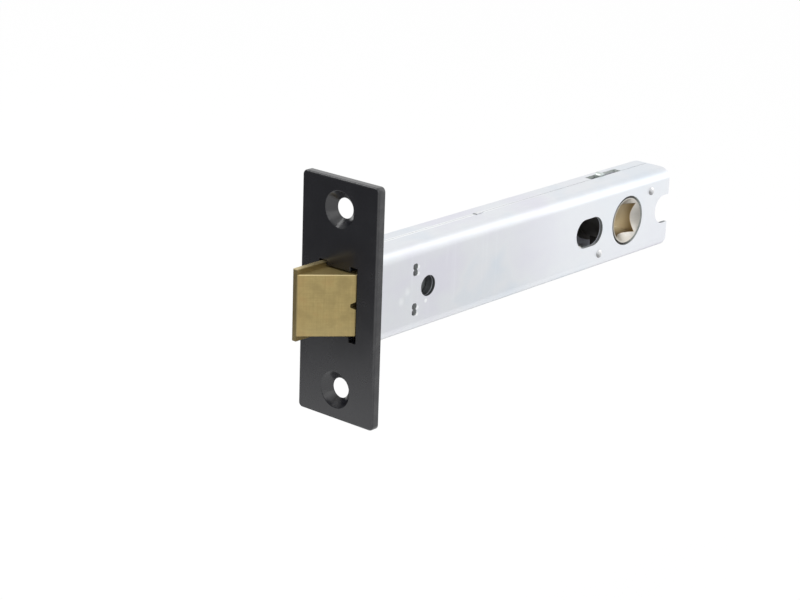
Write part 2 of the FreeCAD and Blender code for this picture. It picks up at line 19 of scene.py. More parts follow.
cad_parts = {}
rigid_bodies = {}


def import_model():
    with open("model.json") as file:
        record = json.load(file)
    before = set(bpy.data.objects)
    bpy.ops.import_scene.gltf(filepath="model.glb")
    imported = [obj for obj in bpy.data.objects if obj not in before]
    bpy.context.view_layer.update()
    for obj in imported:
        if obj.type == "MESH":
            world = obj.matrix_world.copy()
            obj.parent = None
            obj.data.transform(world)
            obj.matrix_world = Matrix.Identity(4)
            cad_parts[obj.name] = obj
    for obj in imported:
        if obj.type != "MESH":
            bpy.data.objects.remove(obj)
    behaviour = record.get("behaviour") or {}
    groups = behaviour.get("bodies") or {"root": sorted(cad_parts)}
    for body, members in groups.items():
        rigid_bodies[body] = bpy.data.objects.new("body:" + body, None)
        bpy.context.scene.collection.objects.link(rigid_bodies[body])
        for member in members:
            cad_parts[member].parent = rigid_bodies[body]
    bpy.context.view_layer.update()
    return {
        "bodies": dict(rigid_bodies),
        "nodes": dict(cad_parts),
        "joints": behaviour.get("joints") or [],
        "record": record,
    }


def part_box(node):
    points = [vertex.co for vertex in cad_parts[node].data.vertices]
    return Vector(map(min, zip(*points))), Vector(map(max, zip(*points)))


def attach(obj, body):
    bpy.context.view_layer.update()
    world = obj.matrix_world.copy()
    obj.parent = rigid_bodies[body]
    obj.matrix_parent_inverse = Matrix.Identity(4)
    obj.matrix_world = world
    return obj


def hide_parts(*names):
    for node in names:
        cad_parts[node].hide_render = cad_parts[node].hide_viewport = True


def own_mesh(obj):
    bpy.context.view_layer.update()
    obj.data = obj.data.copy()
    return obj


LOG = logging.getLogger("tubular_latch")
MM = 0.001
MICRON = 1e-6
CASE_BODY = "case_body"
CREASE = math.radians(40.0)

Colour = tuple[float, float, float]
Point = tuple[float, float, float]
Span = tuple[float, float]
Feed = Union["Wire", float, Sequence[float]]

WHITE: Colour = (1.0, 1.0, 1.0)


class Slot(Enum):
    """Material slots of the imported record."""

    SPRING_WIRE = "spring_wire"
    RIVET_STEEL = "rivet_steel"


class Ray(Enum):
    """Rays that see the studio's white background instead of its light."""

    CAMERA = "Is Camera Ray"
    GLOSSY = "Is Glossy Ray"
    TRANSMISSION = "Is Transmission Ray"


class Wire:
    """An output socket that takes part in Python arithmetic, each step adding a Math node."""

    def __init__(self, bench: "Bench", socket: bpy.types.NodeSocket) -> None:
        """Keep the socket and the bench that its node stands on."""
        self.bench = bench
        self.socket = socket

    def _math(self, operation: str, *values: Feed) -> "Wire":
        """Add a Math node with its inputs in order, and give its result."""
        return self.bench.node("ShaderNodeMath", {"operation": operation}, dict(enumerate(values)))

    def __add__(self, other: Feed) -> "Wire":
        """Add a value."""
        return self._math("ADD", self, other)

    def __radd__(self, other: Feed) -> "Wire":
        """Add to a value."""
        return self._math("ADD", other, self)

    def __sub__(self, other: Feed) -> "Wire":
        """Take a value away."""
        return self._math("SUBTRACT", self, other)

    def __rsub__(self, other: Feed) -> "Wire":
        """Take from a value."""
        return self._math("SUBTRACT", other, self)

    def __mul__(self, other: Feed) -> "Wire":
        """Multiply by a value."""
        return self._math("MULTIPLY", self, other)

    def __rmul__(self, other: Feed) -> "Wire":
        """Multiply a value."""
        return self._math("MULTIPLY", other, self)

    def __pow__(self, other: Feed) -> "Wire":
        """Raise to a power."""
        return self._math("POWER", self, other)

    def __abs__(self) -> "Wire":
        """Drop the sign."""
        return self._math("ABSOLUTE", self)

    def __or__(self, other: Feed) -> "Wire":
        """Join two masks, or take the larger of two values."""
        return self._math("MAXIMUM", self, other)

    def rise(self, start: float, end: float) -> "Wire":
        """Ease from 0 to 1.

        Args:
            start: value at which the result is still 0.
            end: value at which it has reached 1; a smaller end turns the ease round.

        Returns:
            The eased value.
        """
        ends = (0.0, 1.0) if start < end else (1.0, 0.0)
        feeds = (self, min(start, end), max(start, end), *ends)
        settings = {"interpolation_type": "SMOOTHSTEP"}
        return self.bench.node("ShaderNodeMapRange", settings, dict(enumerate(feeds)))


@dataclass(frozen=True)
class Grain:
    """A noise pattern.

    Attributes:
        lumps: lumps in a metre, the same each way or for each axis.
        layers: how many finer layers lie over the first.
        weight: weight of the finer layers.
        span: values of the noise between which a stain sets in.
    """

    lumps: float | Point
    layers: float = 2.0
    weight: float = 0.5
    span: Span = (0.0, 1.0)


class Bench:
    """Node tree that a finish, the floor or the world is put together on."""

    # Numbers of a Mix node's two colour inputs and of its colour output.
    MIX_COLOURS = (6, 7)
    MIX_RESULT = 2

    def __init__(self, tree: bpy.types.NodeTree) -> None:
        """Clear a new tree down to its output node.

        Args:
            tree: the tree of a new material or world.
        """
        self.tree = tree
        for spare in [node for node in tree.nodes if not node.type.startswith("OUTPUT")]:
            tree.nodes.remove(spare)
        self.end = tree.nodes[0]

    def node(
        self,
        kind: str,
        settings: Mapping[str, Any] | None = None,
        sockets: Mapping[int | str, Feed] | None = None,
        output: int | str = 0,
    ) -> Wire:
        """Add any node.

        Args:
            kind: the node's type.
            settings: its properties; "stops" holds a ramp's (place, colour) pairs.
            sockets: values or wires for its inputs, by name or number.
            output: the output that is wanted.

        Returns:
            That output.
        """
        made = self.tree.nodes.new(kind)
        for key, setting in (settings or {}).items():
            if key == "stops":
                self._set_stops(made.color_ramp.elements, setting)
            else:
                setattr(made, key, setting)
        for key, feed in (sockets or {}).items():
            if isinstance(feed, Wire):
                self.tree.links.new(feed.socket, made.inputs[key])
            else:
                made.inputs[key].default_value = feed
        return Wire(self, made.outputs[output])

    @staticmethod
    def _set_stops(elements: Any, stops: Sequence[tuple[float, Colour]]) -> None:
        """Give a new ramp its stops.

        Args:
            elements: the ramp's own stops, two in a new ramp.
            stops: place and colour of each stop that is wanted.
        """
        for place, _ in stops[2:]:
            elements.new(place)
        for element, (place, colour) in zip(elements, stops):
            element.position = place
            element.color = (*colour, 1.0)

    def close(self, shader: Wire) -> None:
        """Lead a shader to the tree's output."""
        self.tree.links.new(shader.socket, self.end.inputs["Surface"])

    def place(self) -> Wire:
        """Point of the surface in the piece's own frame, in metres."""
        return self.node("ShaderNodeTexCoord", output="Object")

    def axes(self) -> tuple[Wire, Wire, Wire]:
        """Split the surface's point.

        Returns:
            Its x, y and z.
        """
        first = self.node("ShaderNodeSeparateXYZ", sockets={0: self.place()})
        x, y, z = first.socket.node.outputs
        return Wire(self, x), Wire(self, y), Wire(self, z)

    def noise(self, grain: Grain) -> Wire:
        """Add a noise pattern.

        Args:
            grain: its lumps and layers.

        Returns:
            The noise, about 0 to 1.
        """
        lumps = grain.lumps
        each = lumps if isinstance(lumps, tuple) else (lumps, lumps, lumps)
        spread = self.node("ShaderNodeVectorMath", {"operation": "MULTIPLY"}, {0: self.place(), 1: each})
        layers = {"Detail": grain.layers, "Roughness": grain.weight}
        return self.node("ShaderNodeTexNoise", sockets={"Vector": spread, "Scale": 1.0, **layers})

    def stain(self, grain: Grain) -> Wire:
        """Mask of patches where a noise is high."""
        return self.noise(grain).rise(*grain.span)

    def ramp(self, value: Wire, *stops: tuple[float, Colour]) -> Wire:
        """Colours along a value, from (place, colour) stops."""
        return self.node("ShaderNodeValToRGB", {"stops": stops}, {0: value})

    def mix(self, share: Feed, first: Wire | Colour, second: Wire | Colour) -> Wire:
        """Blend two colours.

        Args:
            share: how much of the second shows.
            first: colour at 0.
            second: colour at 1.

        Returns:
            The blend.
        """
        ends = [end if isinstance(end, Wire) else (*end, 1.0) for end in (first, second)]
        sockets = {0: share, **dict(zip(self.MIX_COLOURS, ends))}
        return self.node("ShaderNodeMix", {"data_type": "RGBA"}, sockets, self.MIX_RESULT)

    def bump(self, height: Wire, depth: float, under: Wire | None = None) -> Wire:
        """Turn a height into a normal.

        Args:
            height: the relief, about 0 to 1.
            depth: its real depth in metres.
            under: normal of a finer relief that it lies on.

        Returns:
            The normal.
        """
        sockets: dict[int | str, Feed] = {"Height": height, "Distance": depth}
        if under is not None:
            sockets["Normal"] = under
        return self.node("ShaderNodeBump", sockets=sockets)

    def background_rays(self) -> Wire:
        """Mask that is 1 for rays that see the white background."""
        return reduce(operator.or_, [self.node("ShaderNodeLightPath", output=ray.value) for ray in Ray])


def new_material(name: str) -> tuple[bpy.types.Material, Bench]:
    """Make a material with nothing on its bench yet.

    Args:
        name: its name.

    Returns:
        The material and its bench.
    """
    material = bpy.data.materials.new(name)
    material.use_nodes = True
    return material, Bench(material.node_tree)


@dataclass(frozen=True)
class Finish:
    """What every finish shares: a name, and nodes that end in one shader."""

    name: str

    def make(self) -> bpy.types.Material:
        """Build the finish.

        Returns:
            The new material.
        """
        material, bench = new_material(self.name)
        bench.close(self.shader(bench))
        return material

    def shader(self, bench: Bench) -> Wire:
        """Lay the finish out on a bench; each finish has its own."""
        raise NotImplementedError


@dataclass(frozen=True)
class PowderCoat(Finish):
    """Satin black powder coat: a fine skin, faint cloudiness, and edges a little paler in patches, partly
    worn and partly a painted edge highlight.
    """

    dark: Colour = (0.0055, 0.0057, 0.0085)
    pale: Colour = (0.008, 0.0083, 0.0115)
    local_tone: Colour = (0.04, 0.04, 0.041)
    clouds: Grain = Grain(95.0, 3.0, span=(0.3, 0.7))
    skin: Grain = Grain(2600.0, 3.0, 0.55)
    edge_patches: Grain = Grain(420.0, 4.0, 0.6, (0.42, 0.68))
    half_width: float = 12.1 * MM
    half_height: float = 30.0 * MM
    edge_band_width: float = 0.7 * MM
    local_tone_share: float = 0.45
    gloss: float = 0.2
    cloud_gloss: float = 0.06
    skin_gloss: float = 0.05
    specular: float = 0.8
    skin_depth: float = 0.9 * MICRON

    def shader(self, bench: Bench) -> Wire:
        """Lay out the coat.

        Args:
            bench: the tree to build on.

        Returns:
            The coat's shader.
        """
        _, y, z = bench.axes()
        cloud = bench.stain(self.clouds)
        skin = bench.noise(self.skin)
        # Patches along the plate's edges are painted paler: partly wear of the coat, partly a painted
        # highlight where the edges catch light.
        rim = (abs(y) - self.half_width) | (abs(z) - self.half_height)
        edge_wear_and_sheen = rim.rise(-self.edge_band_width, 0.0) * bench.stain(self.edge_patches)
        colour = bench.mix(self.local_tone_share * edge_wear_and_sheen, bench.mix(cloud, self.dark, self.pale), self.local_tone)
        return bench.node(
            "ShaderNodeBsdfPrincipled",
            sockets={
                "Base Color": colour,
                "Roughness": self.gloss + self.cloud_gloss * cloud + self.skin_gloss * skin,
                "Specular IOR Level": self.specular,
                "Normal": bench.bump(skin, self.skin_depth),
            },
        )


@dataclass(frozen=True)
class Stretch:
    """A stretch along the case that is eased at both ends.

    Attributes:
        start: its front end.
        end: its rear end.
        lead: length of the ease at the front.
        trail: length of the ease at the rear.
    """

    start: float
    end: float
    lead: float = 1.0 * MM
    trail: float = 1.0 * MM

    def mask(self, x: Wire) -> Wire:
        """Mask that is 1 on the stretch, from the point's place along the case."""
        return x.rise(self.start, self.start + self.lead) * x.rise(self.end, self.end - self.trail)


@dataclass(frozen=True)
class RoundMarks:
    """Round marks of one kind on the case's sides.

    Attributes:
        places: middle of each mark, along and up.
        radius: where each mark has faded out.
        core: share of the radius up to which it is full.
    """

    places: tuple[Span, ...]
    radius: float
    core: float = 0.0

    def mask(self, x: Wire, z: Wire) -> Wire:
        """Draw the marks.

        Args:
            x: the point's place along the case.
            z: its height.

        Returns:
            The mask, 1 in the middle of a mark.
        """
        away = [((x - along) ** 2.0 + (z - up) ** 2.0) ** 0.5 for along, up in self.places]
        return reduce(operator.or_, [far.rise(self.radius, self.core * self.radius) for far in away])


@dataclass(frozen=True)
class ZincSheet(Finish):
    """Bright zinc plate on rolled sheet: clouds, wipe and press marks, painted glints, cut edges painted as
    shade in holes and as light round the follower, and a dull darker inside painted as shade.
    """

    blue: Colour = (0.70, 0.755, 0.815)
    clear: Colour = (0.775, 0.795, 0.825)
    mauve: Colour = (0.745, 0.745, 0.81)
    highlight_colour: Colour = (0.955, 0.975, 0.99)
    rear: Colour = (0.87, 0.895, 0.93)
    hole_shade: Colour = (0.06, 0.064, 0.066)
    cut: Colour = (0.34, 0.36, 0.355)
    lit_cut: Colour = (0.62, 0.66, 0.64)
    inside_shade: Colour = (0.50, 0.51, 0.565)
    tint_stops: tuple[float, ...] = (0.32, 0.5, 0.68)
    clouds: Grain = Grain((46.0, 46.0, 62.0), 3.0, 0.55)
    wipes: Grain = Grain((620.0, 620.0, 34.0), 3.0, 0.6, (0.52, 0.78))
    specks: Grain = Grain(2300.0, 2.0, 0.6)
    core_half_width: float = 4.0 * MM
    core_half_height: float = 8.15 * MM
    outer_bend: float = 3.0 * MM
    inner_bend: float = 2.0 * MM
    skin: float = 0.12 * MM
    wipe_share: float = 0.22
    rear_share: float = 0.7
    rear_along: Span = (52.0 * MM, 84.0 * MM)
    side_faces: Span = (6.21 * MM, 6.9 * MM)
    press: RoundMarks = RoundMarks(((17.6 * MM, 0.2 * MM), (15.4 * MM, -1.9 * MM)), 1.5 * MM)
    press_glint: float = 0.4
    glint_marks: RoundMarks = RoundMarks(
        (
            (21.2 * MM, 5.6 * MM),
            (21.2 * MM, 3.9 * MM),
            (21.2 * MM, -4.75 * MM),
            (21.1 * MM, -6.4 * MM),
            (24.3 * MM, -3.7 * MM),
        ),
        0.7 * MM,
        0.4,
    )
    seam_at: float = 0.8 * MM
    seam_width: Span = (0.8 * MM, 0.32 * MM)
    seam_height: Span = (0.0, 11.0 * MM)
    seam_along: Span = (99.0 * MM, 29.7 * MM)
    lit_cut_stretch: Stretch = Stretch(99.0 * MM, 118.0 * MM)
    lit_cut_behind: Span = (108.0 * MM, 112.0 * MM)
    lit_cut_above: Span = (8.1 * MM, 9.0 * MM)
    access_hole_shade: Stretch = Stretch(21.7 * MM, 30.0 * MM, lead=0.5 * MM)
    oval_hole_shade: Stretch = Stretch(94.0 * MM, 98.8 * MM, trail=0.5 * MM)
    oval_share: float = 0.6
    notch_shade: Stretch = Stretch(118.2 * MM, 126.6 * MM, lead=0.5 * MM, trail=2.0 * MM)
    cut_dullness: float = 0.7
    gloss: float = 0.26
    cloud_gloss: float = 0.12
    wipe_gloss: float = 0.08
    bare_gloss: float = 0.2
    speck_share: float = 0.6
    roll_depth: float = 2.2 * MICRON
    press_depth: float = 60.0 * MICRON

    def shader(self, bench: Bench) -> Wire:
        """Lay out the plating, the cut edges and the inside, which is painted a dull darker grey as shade.

        Args:
            bench: the tree to build on.

        Returns:
            The sheet's shader.
        """
        x, y, z = bench.axes()
        cloud = bench.noise(self.clouds)
        wipe = bench.noise(self.wipes)
        speck = bench.noise(self.specks)
        # Distance from the case's core tells the outside, the cut edges and the inside apart.
        out_y = (abs(y) - self.core_half_width) | 0.0
        out_z = (abs(z) - self.core_half_height) | 0.0
        outward = (out_y**2.0 + out_z**2.0) ** 0.5
        # The inside is painted a dull darker grey that stands in for the shade inside the case.
        inside = outward.rise(self.inner_bend + 2.0 * self.skin, self.inner_bend + self.skin)
        raw = outward.rise(self.outer_bend, self.outer_bend - self.skin) * (1.0 - inside)
        # The outside: tinted plating, paler behind, with worn wipes and painted glints.
        tint = bench.ramp(cloud, *zip(self.tint_stops, (self.blue, self.clear, self.mauve)))
        behind = self.rear_share * x.rise(*self.rear_along) * abs(y).rise(*self.side_faces)
        worn = bench.mix(behind | self.wipe_share * wipe.rise(*self.wipes.span), tint, self.rear)
        press = self.press.mask(x, z)
        seam = abs(y - self.seam_at).rise(*self.seam_width) * z.rise(*self.seam_height)
        # Painted highlights: glints beside the nibs and under the access hole, a faint glint on the press
        # marks, and a bright line along the seam.
        bright = self.glint_marks.mask(x, z) | self.press_glint * press | seam * x.rise(*self.seam_along)
        skin = bench.mix(bright, worn, self.highlight_colour)
        plated = bench.mix(raw, skin, self.cut_edge(bench, x, z))
        relief = self.speck_share * speck + (1.0 - self.speck_share) * wipe
        rolled = bench.bump(relief, self.roll_depth)
        shine = self.gloss + self.cloud_gloss * cloud + self.wipe_gloss * wipe
        return bench.node(
            "ShaderNodeBsdfPrincipled",
            sockets={
                "Base Color": bench.mix(inside, plated, self.inside_shade),
                "Metallic": 1.0 - (inside | self.cut_dullness * raw),
                "Roughness": shine + self.bare_gloss * (inside | raw),
                "Normal": bench.bump(1.0 - press, self.press_depth, rolled),
            },
        )

    def cut_edge(self, bench: Bench, x: Wire, z: Wire) -> Wire:
        """Colour of the cut edges: painted dark as shade in three holes, painted paler as light in the top
        slot and at the rear of the follower's hole.

        Args:
            bench: the tree to build on.
            x: the point's place along the case.
            z: its height.

        Returns:
            The colour.
        """
        # Painted light: the cut edges in the top slot and at the rear of the follower's hole are paler.
        # Painted shade: those in the access hole, the oval and the rear notch are dark.
        lit_cut_stretch = self.lit_cut_stretch.mask(x) * (x.rise(*self.lit_cut_behind) | z.rise(*self.lit_cut_above))
        oval = self.oval_share * self.oval_hole_shade.mask(x)
        shaded_holes = self.access_hole_shade.mask(x) | oval | self.notch_shade.mask(x)
        return bench.mix(lit_cut_stretch, bench.mix(shaded_holes, self.cut, self.hole_shade), self.lit_cut)


@dataclass(frozen=True)
class SatinBrass(Finish):
    """Brass with fine lines scoured both ways and faint tarnishing; the nose and the top face are painted
    darker as shade, the bevel is paler towards its foot, and painted highlights run along the top edges.
    """

    bright: Colour = (0.42, 0.33, 0.145)
    tarnish_and_top_shade: Colour = (0.32, 0.25, 0.112)
    reddish: Colour = (0.40, 0.285, 0.125)
    local_tone: Colour = (0.50, 0.41, 0.21)
    nose_shade: Colour = (0.25, 0.205, 0.11)
    edge_highlight: Colour = (0.82, 0.70, 0.41)
    age_stops: tuple[float, ...] = (0.3, 0.52, 0.72)
    upright: Grain = Grain((2400.0, 2400.0, 130.0), 2.0, 0.6)
    level: Grain = Grain((150.0, 150.0, 2400.0), 2.0, 0.6)
    clouds: Grain = Grain(210.0, 4.0, 0.6)
    line_span: Span = (0.35, 0.65)
    line_share: float = 0.45
    nose_warmth: Span = (-6.7 * MM, -9.7 * MM)
    warm_share: float = 0.3
    nose_face: Span = (-9.45 * MM, -9.6 * MM)
    nose_share: float = 0.7
    foot: Span = (-2.4 * MM, -8.0 * MM)
    foot_share: float = 0.22
    top_face: Span = (7.67 * MM, 7.7 * MM)
    below_rib: Span = (8.6 * MM, 8.0 * MM)
    top_share: float = 0.35
    edge_height: Span = (7.4 * MM, 7.55 * MM)
    edge_along: Span = (-9.45 * MM, -9.2 * MM)
    edge_share: float = 0.6
    rib_top: Span = (8.6 * MM, 8.75 * MM)
    rib_share: float = 0.8
    gloss: float = 0.36
    line_gloss: float = 0.2
    cloud_gloss: float = 0.06
    top_gloss: float = 0.2
    line_depth: float = 1.6 * MICRON

    def shader(self, bench: Bench) -> Wire:
        """Lay out the brass.

        Args:
            bench: the tree to build on.

        Returns:
            The brass's shader.
        """
        x, _, z = bench.axes()
        cloud = bench.noise(self.clouds)
        lines = 0.5 * bench.noise(self.upright) + 0.5 * bench.noise(self.level)
        aged = bench.ramp(cloud, *zip(self.age_stops, (self.tarnish_and_top_shade, self.bright, self.reddish)))
        lined = bench.mix(self.line_share * lines.rise(*self.line_span), aged, self.tarnish_and_top_shade)
        warm = bench.mix(self.warm_share * x.rise(*self.nose_warmth), lined, self.reddish)
        # The nose's face is painted darker as shade.
        nosed = bench.mix(self.nose_share * x.rise(*self.nose_face), warm, self.nose_shade)
        # The bevel is paler towards its foot.
        footed = bench.mix(self.foot_share * z.rise(*self.foot), nosed, self.local_tone)
        # The top face is painted darker as shade, in the darkest brass colour.
        on_top = z.rise(*self.top_face)
        top = on_top * z.rise(*self.below_rib)
        topped = bench.mix(self.top_share * top, footed, self.tarnish_and_top_shade)
        # Painted highlights along the bevel's top edge and on the rib's top.
        edge = z.rise(*self.edge_height) * (1.0 - on_top) * x.rise(*self.edge_along)
        bright = self.edge_share * edge | self.rib_share * z.rise(*self.rib_top)
        shine = self.gloss + self.line_gloss * lines + self.cloud_gloss * cloud
        return bench.node(
            "ShaderNodeBsdfPrincipled",
            sockets={
                "Base Color": bench.mix(bright, topped, self.edge_highlight),
                "Metallic": 1.0,
                "Roughness": shine + self.top_gloss * top,
                "Normal": bench.bump(lines, self.line_depth),
            },
        )


@dataclass(frozen=True)
class PlainSteel(Finish):
    """Plain steel or casting: drawn or cast grain over an uneven grey, with oily patches in the low spots.
    """

    bright: Colour
    dull: Colour
    gloss: float
    lumps: float
    grain_depth: float
    clouds: Grain = Grain(240.0, 3.0, 0.6)
    oil_span: Span = (0.36, 0.62)
    grain_gloss: float = 0.14

    def shader(self, bench: Bench) -> Wire:
        """Lay out the metal.

        Args:
            bench: the tree to build on.

        Returns:
            The metal's shader.
        """
        grain = bench.noise(replace(self.clouds, lumps=self.lumps))
        oil_and_shade = (0.5 * bench.noise(self.clouds) + 0.5 * grain).rise(*self.oil_span)
        return bench.node(
            "ShaderNodeBsdfPrincipled",
            sockets={
                "Base Color": self.paint_light_and_shade(bench, bench.mix(oil_and_shade, self.dull, self.bright)),
                "Metallic": 1.0,
                "Roughness": self.gloss + self.grain_gloss * grain,
                "Normal": bench.bump(grain, self.grain_depth),
            },
        )

    def paint_light_and_shade(self, bench: Bench, metal: Wire) -> Wire:
        """Leave the metal as it is; a finish with painted light and shade has its own."""
        return metal


@dataclass(frozen=True)
class StakedCasting(PlainSteel):
    """Casting with nibs that are staked over in the case's wall; the front of each nib and the well under
    the access hole are painted dark as shade.
    """

    shade_colour: Colour = (0.10, 0.10, 0.105)
    nib_faces: Span = (6.2 * MM, 6.4 * MM)
    nib_front: Span = (20.78 * MM, 20.1 * MM)
    nib_share: float = 0.92
    well_at: float = 25.0 * MM
    well_radius: float = 3.2 * MM
    well_core: float = 0.9
    well_share: float = 0.75

    def paint_light_and_shade(self, bench: Bench, metal: Wire) -> Wire:
        """Paint shade on the front of each nib and in the well under the access hole.

        Args:
            bench: the tree to build on.
            metal: colour of the clean metal.

        Returns:
            The stained colour.
        """
        x, y, z = bench.axes()
        # Painted shade: the nibs sit sunk in their holes and the well lies deep under the access hole.
        nib = x.rise(*self.nib_front) * abs(y).rise(*self.nib_faces)
        rim = self.well_radius**2.0
        well = ((x - self.well_at) ** 2.0 + z**2.0).rise(rim, self.well_core * rim)
        return bench.mix(self.nib_share * nib | self.well_share * well, metal, self.shade_colour)


@dataclass(frozen=True)
class SetRivet(PlainSteel):
    """Domed rivet with painted shade under its lower front edge and round its foot, a painted highlight on
    the crown behind, and a pin painted near white.
    """

    pin: Colour = (0.95, 0.95, 0.88)
    shade_colour: Colour = (0.30, 0.30, 0.305)
    highlight_colour: Colour = (0.90, 0.90, 0.905)
    heads: Span = (6.555 * MM, 6.9 * MM)
    lean_along: float = 0.65
    lean_up: float = 0.76
    foot: Span = (0.96 * MM, 1.2 * MM)
    foot_share: float = 0.3
    shade: Span = (-0.18 * MM, -0.9 * MM)
    shade_share: float = 0.9
    crown: Span = (-0.12 * MM, 0.48 * MM)

    def paint_light_and_shade(self, bench: Bench, metal: Wire) -> Wire:
        """Paint shade on the lower front and round the foot, a highlight on the upper rear, and light on
        the pin.

        Args:
            bench: the tree to build on.
            metal: colour of the clean metal.

        Returns:
            The stained colour.
        """
        x, y, z = bench.axes()
        # Painted shade on the lower front and round the foot, and a painted highlight on the crown behind.
        lean = self.lean_along * x + self.lean_up * z
        foot = ((x**2.0 + z**2.0) ** 0.5).rise(*self.foot)
        dark = lean.rise(*self.shade) | self.foot_share * foot
        crown = lean.rise(*self.crown) * (1.0 - foot)
        head = bench.mix(self.shade_share * dark, bench.mix(crown, metal, self.highlight_colour), self.shade_colour)
        # The pin inside the case is painted near white as painted light, so that it shows bright there.
        return bench.mix(abs(y).rise(*self.heads), self.pin, head)


@dataclass(frozen=True)
class FollowerBronze(Finish):
    """Pale bronze of the follower: turned rings in the dish, a golden bore painted darker deeper in, and
    painted shade on the dish's rear side and in the gap round the boss.
    """

    pale: Colour = (0.64, 0.62, 0.58)
    warm: Colour = (0.55, 0.52, 0.465)
    local_tone: Colour = (0.33, 0.315, 0.285)
    golden: Colour = (0.95, 0.875, 0.71)
    bore_shade: Colour = (0.40, 0.31, 0.19)
    gap_shade: Colour = (0.02, 0.018, 0.015)
    plated: Colour = (0.60, 0.645, 0.625)
    clouds: Grain = Grain(330.0, 3.0, 0.6, (0.35, 0.7))
    ring_lumps: float = 3000.0
    ring_layers: float = 2.0
    axis: float = 108.0 * MM
    bore_edge: Span = (4.1 * MM, 4.0 * MM)
    bore_depth: Span = (0.885 * MM, 5.9 * MM)
    dish_shade: Span = (3.3 * MM, 5.7 * MM)
    local_tone_share: float = 0.75
    boss_edge: Span = (6.0 * MM, 6.2 * MM)
    boss_rear: Span = (2.79 * MM, 4.96 * MM)
    boss_depth: Span = (6.6 * MM, 5.9 * MM)
    arm_height: Span = (8.6 * MM, 9.6 * MM)
    gap_shade_share: float = 0.8
    gloss: float = 0.24
    ring_gloss: float = 0.12
    cloud_gloss: float = 0.1
    gap_gloss: float = 0.1
    ring_depth: float = 2.5 * MICRON

    def shader(self, bench: Bench) -> Wire:
        """Lay out the bronze about the spindle's axis.

        Args:
            bench: the tree to build on.

        Returns:
            The bronze's shader.
        """
        x, y, z = bench.axes()
        along = x - self.axis
        away = (along**2.0 + z**2.0) ** 0.5
        rings = bench.node(
            "ShaderNodeTexNoise",
            {"noise_dimensions": "1D"},
            {"W": away * self.ring_lumps, "Scale": 1.0, "Detail": self.ring_layers},
        )
        cloud = bench.noise(self.clouds)
        arm = abs(z).rise(*self.arm_height)
        # Painted shade on the bronze seen behind the sheet in the gap round the boss, left out at the rear
        # side.
        boss = abs(y).rise(*self.boss_depth) * away.rise(*self.boss_edge)
        oil_and_shade = boss * (1.0 - arm) * (1.0 - along.rise(*self.boss_rear))
        faces = bench.mix(cloud.rise(*self.clouds.span), self.pale, self.warm)
        # The dish's rear side is painted darker as shade.
        dish = bench.mix(self.local_tone_share * along.rise(*self.dish_shade), faces, self.local_tone)
        # The bore is painted darker deeper in, as shade.
        wall = bench.mix(abs(y).rise(*self.bore_depth), self.golden, self.bore_shade)
        bore = (abs(along) | abs(z)).rise(*self.bore_edge)
        body = bench.mix(arm, bench.mix(bore, dish, wall), self.plated)
        shine = self.gloss + self.ring_gloss * rings + self.cloud_gloss * cloud
        return bench.node(
            "ShaderNodeBsdfPrincipled",
            sockets={
                "Base Color": bench.mix(self.gap_shade_share * oil_and_shade, body, self.gap_shade),
                "Metallic": 1.0,
                "Roughness": shine + self.gap_gloss * oil_and_shade,
                "Normal": bench.bump(rings, self.ring_depth),
            },
        )


def new_object(name: str, data: bpy.types.ID) -> bpy.types.Object:
    """Put a mesh, a lamp or a camera into the scene.

    Args:
        name: name of the new object.
        data: what it shows.

    Returns:
        The object.
    """
    made = bpy.data.objects.new(name, data)
    bpy.context.scene.collection.objects.link(made)
    return made


def lofted_mesh(name: str, rings: Sequence[Sequence[Point]]) -> bpy.types.Mesh:
    """Skin a row of rings that have the same number of points, and fill both ends.

    Args:
        name: name of the mesh.
        rings: the rings in order, each a closed loop of points.

    Returns:
        The mesh, shaded smooth up to its sharp edges.
    """
    sides = len(rings[0])
    points = [point for ring in rings for point in ring]
    faces: list[tuple[int, ...]] = []
    for row in range(len(rings) - 1):
        here, after = row * sides, (row + 1) * sides
        for side in range(sides):
            beside = (side + 1) % sides
            faces.append((here + side, here + beside, after + beside, after + side))
    faces.append(tuple(reversed(range(sides))))
    faces.append(tuple(range(len(points) - sides, len(points))))
    mesh = bpy.data.meshes.new(name)
    mesh.from_pydata(points, [], faces)
    mesh.shade_smooth()
    mesh.set_sharp_from_angle(angle=CREASE)
    return mesh


@dataclass(frozen=True)
class SoftEdge:
    """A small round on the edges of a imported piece, laid over its mesh by modifiers."""

    width: float
    segments: int = 2
    sharp_angle: float = math.radians(30.0)
    weld_distance: float = 1.0 * MICRON
    flat_angle: float = math.radians(0.5)
    face_weight: int = 50

    def lay(self, piece: bpy.types.Object) -> None:
        """Join split corners, round the sharp edges and keep the flat faces flat.

        Args:
            piece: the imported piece.
        """
        weld = piece.modifiers.new("join_corners", "WELD")
        weld.merge_threshold = self.weld_distance
        flat = piece.modifiers.new("whole_faces", "DECIMATE")
        flat.decimate_type = "DISSOLVE"
        flat.angle_limit = self.flat_angle
        edge = piece.modifiers.new("soft_edge", "BEVEL")
        edge.width = self.width
        edge.segments = self.segments
        edge.limit_method = "ANGLE"
        edge.angle_limit = self.sharp_angle
        even = piece.modifiers.new("even_shading", "WEIGHTED_NORMAL")
        even.weight = self.face_weight


